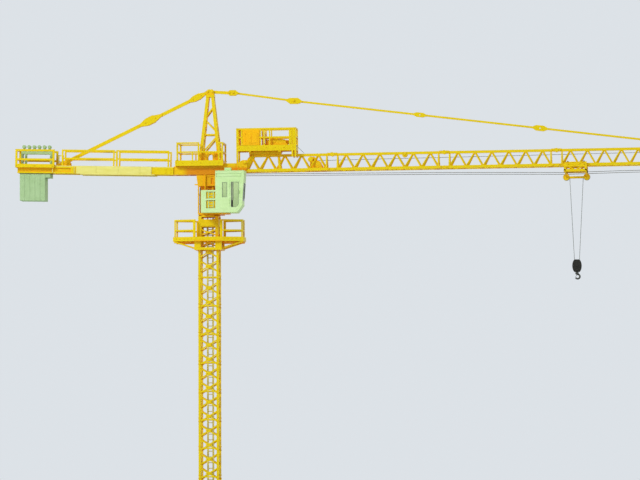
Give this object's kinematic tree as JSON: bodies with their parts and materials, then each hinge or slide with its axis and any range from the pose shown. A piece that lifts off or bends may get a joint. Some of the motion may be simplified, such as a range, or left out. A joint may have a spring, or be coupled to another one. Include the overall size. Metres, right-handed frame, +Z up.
{
  "type": "scale model tower crane",
  "caption": "Scale model of a hammerhead tower crane: lattice mast on a ballasted cross base, slewing jib with ties, counterweights, cab, trolley and hook",
  "frame": {"origin": "on the mast axis, at the level that the feet stand on", "axes": "+X runs along the jib from the mast, +Y is the side away from the cab, +Z is up"},
  "size_m": [0.7335, 0.0838, 0.4225],
  "materials": {
    "yellow_paint": "satin",
    "orange_paint": "satin",
    "cream_plastic": "satin",
    "white_plastic": "satin",
    "window_plastic": "gloss",
    "weight_casting": "matte",
    "rope_grey": "satin",
    "black_metal": "satin",
    "hook_steel": "satin"
  },
  "bodies": {
    "tower": {"base_cross": "yellow_paint", "base_ballast": "weight_casting", "mast_legs": "yellow_paint", "mast_front": "yellow_paint", "mast_back": "yellow_paint", "mast_left": "yellow_paint", "mast_right": "yellow_paint", "mast_ladder": "cream_plastic", "mast_head": "yellow_paint", "service_platform": "yellow_paint", "service_rails": "yellow_paint"},
    "upper_crane": {"slew_ring": "yellow_paint", "slew_column": "yellow_paint", "column_ladder": "yellow_paint", "cab": "white_plastic", "cab_windows": "window_plastic", "cab_gallery": "white_plastic", "slew_frame": "yellow_paint", "slew_platform": "yellow_paint", "slew_rails": "yellow_paint", "tower_head": "yellow_paint", "counter_beams": "yellow_paint", "counter_deck": "cream_plastic", "counter_rails": "yellow_paint", "counter_boards": "cream_plastic", "counterweights": "weight_casting", "counterweight_rack": "weight_casting", "counterweight_guard": "yellow_paint", "counter_tie": "yellow_paint", "counter_anchor": "yellow_paint", "jib_top_chord": "yellow_paint", "jib_bottom_chords": "yellow_paint", "jib_front": "yellow_paint", "jib_back": "yellow_paint", "jib_bottom_lacing": "yellow_paint", "jib_head": "yellow_paint", "jib_tie": "yellow_paint", "jib_ropes": "rope_grey", "trolley_winch": "yellow_paint", "winch_platform": "yellow_paint", "winch_guard": "yellow_paint", "winch_cabinet": "orange_paint", "hoist_winch": "yellow_paint"},
    "trolley": {"trolley_frame": "yellow_paint", "trolley_wheels": "black_metal", "hoist_ropes": "rope_grey"},
    "hook_block": {"hook_block": "black_metal"},
    "hook": {"hook": "hook_steel"}
  },
  "joints": [
    {"name": "slew", "type": "hinge", "parent": "tower", "child": "upper_crane", "pos_m": [0, 0, 0.29675], "axis": [0, 0, 1], "continuous": true},
    {"name": "trolley_travel", "type": "slide", "parent": "upper_crane", "child": "trolley", "axis": [1, 0, 0.0096], "range_m": [-0.296, 0.142]},
    {"name": "hook_hoist", "type": "slide", "parent": "trolley", "child": "hook_block", "axis": [0, 0, 1], "range_m": [-0.215, 0.058], "deforming": ["hoist_ropes"]},
    {"name": "hook_swivel", "type": "hinge", "parent": "hook_block", "child": "hook", "pos_m": [0.366, 0, 0.2375], "axis": [0, 0, 1], "continuous": true}
  ]
}
